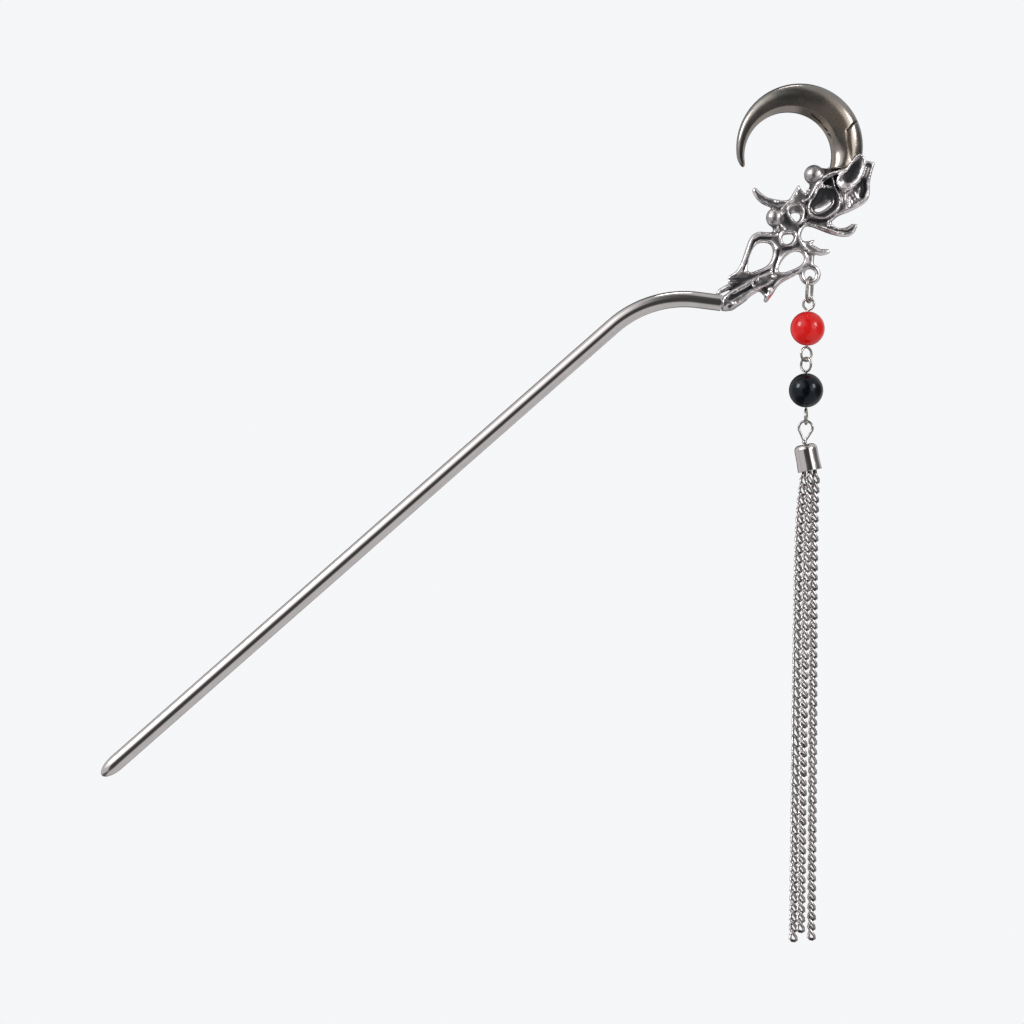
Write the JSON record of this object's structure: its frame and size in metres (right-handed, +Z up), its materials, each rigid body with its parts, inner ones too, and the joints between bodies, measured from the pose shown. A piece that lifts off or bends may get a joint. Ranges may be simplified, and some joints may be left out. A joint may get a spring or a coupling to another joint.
{
  "type": "hairpin",
  "caption": "Bent metal hairpin with a pierced cast head, a crescent horn, and a drop of a red and a black bead with a chain tassel.",
  "frame": {"origin": "on the stem's axis, halfway along its straight stretch, where the hair grips it", "axes": "+X right and +Z up in the picture, with the flat head and the stem in the XZ plane; -Y faces the picture's camera"},
  "size_m": [0.1354, 0.006, 0.1503],
  "materials": {
    "polished_steel": "polished, with fine handling scratches",
    "antiqued_casting": "plated casting, dark in the hollows and rubbed bright on the ridges",
    "satin_gunmetal": "satin dark bronze-grey plating",
    "wire": "bright drawn wire",
    "chain_steel": "warm plated steel chain",
    "red_glass": "opaque glossy red glass",
    "black_glass": "opaque glossy black glass"
  },
  "bodies": {
    "pin": {"stem": "polished_steel", "openwork_head": "antiqued_casting", "horn": "satin_gunmetal"},
    "link": {"hanging_link": "wire"},
    "drop": {"red_bead": "red_glass", "red_eye_pin": "wire", "black_bead": "black_glass", "black_eye_pin": "wire", "tassel_bail": "wire", "tassel_cap": "polished_steel", "cap_plug": "wire", "chain_left": "chain_steel", "chain_middle": "chain_steel", "chain_right": "chain_steel"}
  },
  "joints": [
    {"name": "link_swing", "type": "hinge", "parent": "pin", "child": "link", "pos_m": [0.07945, 0, 0.04714], "axis": [1, 0, 0], "range_deg": [-60, 60]},
    {"name": "drop_swing", "type": "hinge", "parent": "link", "child": "drop", "pos_m": [0.07924, 0, 0.04379], "axis": [0.4226, 0.9063, 0], "range_deg": [-60, 60]}
  ]
}
